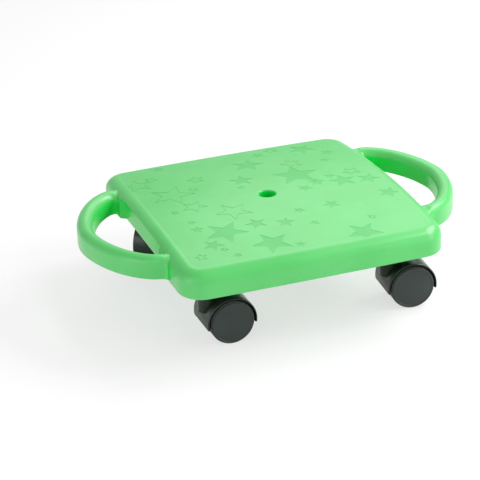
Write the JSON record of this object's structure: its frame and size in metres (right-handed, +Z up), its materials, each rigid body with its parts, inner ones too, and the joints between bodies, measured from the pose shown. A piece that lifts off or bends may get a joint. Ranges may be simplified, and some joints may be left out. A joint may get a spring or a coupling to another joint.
{
  "type": "scooter board",
  "caption": "Square plastic scooter board with a loop handle on either side, riding on hooded twin-wheel swivel casters.",
  "frame": {"origin": "on the floor under the middle of the deck", "axes": "+X to the right through both handles, +Y to the back, +Z up"},
  "size_m": [0.437, 0.3094, 0.1128],
  "materials": {
    "deck_plastic": "semi-gloss moulded green polypropylene with a fine grain on top",
    "hood_plastic": "satin black moulded nylon",
    "wheel_plastic": "satin dark grey moulded plastic",
    "tread_soft": "soft dark grey tread, slightly scuffed",
    "zinc_steel": "bright zinc plated steel",
    "washer_nylon": "natural nylon"
  },
  "bodies": {
    "board": {"deck": "deck_plastic", "front_left_mounting_plate": "zinc_steel", "front_left_king_pin": "zinc_steel", "front_left_bearing_washer": "washer_nylon", "front_left_pin_retainer": "zinc_steel", "front_left_plate_screw_1": "zinc_steel", "front_left_plate_screw_2": "zinc_steel", "front_left_plate_screw_3": "zinc_steel", "front_left_plate_screw_4": "zinc_steel", "front_right_mounting_plate": "zinc_steel", "front_right_king_pin": "zinc_steel", "front_right_bearing_washer": "washer_nylon", "front_right_pin_retainer": "zinc_steel", "front_right_plate_screw_1": "zinc_steel", "front_right_plate_screw_2": "zinc_steel", "front_right_plate_screw_3": "zinc_steel", "front_right_plate_screw_4": "zinc_steel", "back_left_mounting_plate": "zinc_steel", "back_left_king_pin": "zinc_steel", "back_left_bearing_washer": "washer_nylon", "back_left_pin_retainer": "zinc_steel", "back_left_plate_screw_1": "zinc_steel", "back_left_plate_screw_2": "zinc_steel", "back_left_plate_screw_3": "zinc_steel", "back_left_plate_screw_4": "zinc_steel", "back_right_mounting_plate": "zinc_steel", "back_right_king_pin": "zinc_steel", "back_right_bearing_washer": "washer_nylon", "back_right_pin_retainer": "zinc_steel", "back_right_plate_screw_1": "zinc_steel", "back_right_plate_screw_2": "zinc_steel", "back_right_plate_screw_3": "zinc_steel", "back_right_plate_screw_4": "zinc_steel"},
    "front_left_caster": {"front_left_hood": "hood_plastic", "front_left_axle": "zinc_steel"},
    "front_left_outer_roller": {"front_left_outer_wheel": "wheel_plastic", "front_left_outer_tread": "tread_soft"},
    "front_left_inner_roller": {"front_left_inner_wheel": "wheel_plastic", "front_left_inner_tread": "tread_soft"},
    "front_right_caster": {"front_right_hood": "hood_plastic", "front_right_axle": "zinc_steel"},
    "front_right_outer_roller": {"front_right_outer_wheel": "wheel_plastic", "front_right_outer_tread": "tread_soft"},
    "front_right_inner_roller": {"front_right_inner_wheel": "wheel_plastic", "front_right_inner_tread": "tread_soft"},
    "back_left_caster": {"back_left_hood": "hood_plastic", "back_left_axle": "zinc_steel"},
    "back_left_outer_roller": {"back_left_outer_wheel": "wheel_plastic", "back_left_outer_tread": "tread_soft"},
    "back_left_inner_roller": {"back_left_inner_wheel": "wheel_plastic", "back_left_inner_tread": "tread_soft"},
    "back_right_caster": {"back_right_hood": "hood_plastic", "back_right_axle": "zinc_steel"},
    "back_right_outer_roller": {"back_right_outer_wheel": "wheel_plastic", "back_right_outer_tread": "tread_soft"},
    "back_right_inner_roller": {"back_right_inner_wheel": "wheel_plastic", "back_right_inner_tread": "tread_soft"}
  },
  "joints": [
    {"name": "front_left_swivel", "type": "hinge", "parent": "board", "child": "front_left_caster", "pos_m": [-0.1068, -0.0956, 0.05], "axis": [0, 0, 1], "continuous": true},
    {"name": "front_left_outer_roll", "type": "hinge", "parent": "front_left_caster", "child": "front_left_outer_roller", "pos_m": [-0.0878, -0.09537, 0.025], "axis": [0.0122, -0.9999, 0], "continuous": true},
    {"name": "front_left_inner_roll", "type": "hinge", "parent": "front_left_caster", "child": "front_left_inner_roller", "pos_m": [-0.0878, -0.09537, 0.025], "axis": [0.0122, -0.9999, 0], "continuous": true},
    {"name": "front_right_swivel", "type": "hinge", "parent": "board", "child": "front_right_caster", "pos_m": [0.1068, -0.0956, 0.05], "axis": [0, 0, 1], "continuous": true},
    {"name": "front_right_outer_roll", "type": "hinge", "parent": "front_right_caster", "child": "front_right_outer_roller", "pos_m": [0.12572, -0.09732, 0.025], "axis": [-0.0906, -0.9959, 0], "continuous": true},
    {"name": "front_right_inner_roll", "type": "hinge", "parent": "front_right_caster", "child": "front_right_inner_roller", "pos_m": [0.12572, -0.09732, 0.025], "axis": [-0.0906, -0.9959, 0], "continuous": true},
    {"name": "back_left_swivel", "type": "hinge", "parent": "board", "child": "back_left_caster", "pos_m": [-0.1068, 0.0956, 0.05], "axis": [0, 0, 1], "continuous": true},
    {"name": "back_left_outer_roll", "type": "hinge", "parent": "back_left_caster", "child": "back_left_outer_roller", "pos_m": [-0.09459, 0.11016, 0.025], "axis": [0.766, -0.6428, 0], "continuous": true},
    {"name": "back_left_inner_roll", "type": "hinge", "parent": "back_left_caster", "child": "back_left_inner_roller", "pos_m": [-0.09459, 0.11016, 0.025], "axis": [0.766, -0.6428, 0], "continuous": true},
    {"name": "back_right_swivel", "type": "hinge", "parent": "board", "child": "back_right_caster", "pos_m": [0.1068, 0.0956, 0.05], "axis": [0, 0, 1], "continuous": true},
    {"name": "back_right_outer_roll", "type": "hinge", "parent": "back_right_caster", "child": "back_right_outer_roller", "pos_m": [0.12465, 0.0891, 0.025], "axis": [-0.342, -0.9397, 0], "continuous": true},
    {"name": "back_right_inner_roll", "type": "hinge", "parent": "back_right_caster", "child": "back_right_inner_roller", "pos_m": [0.12465, 0.0891, 0.025], "axis": [-0.342, -0.9397, 0], "continuous": true}
  ]
}
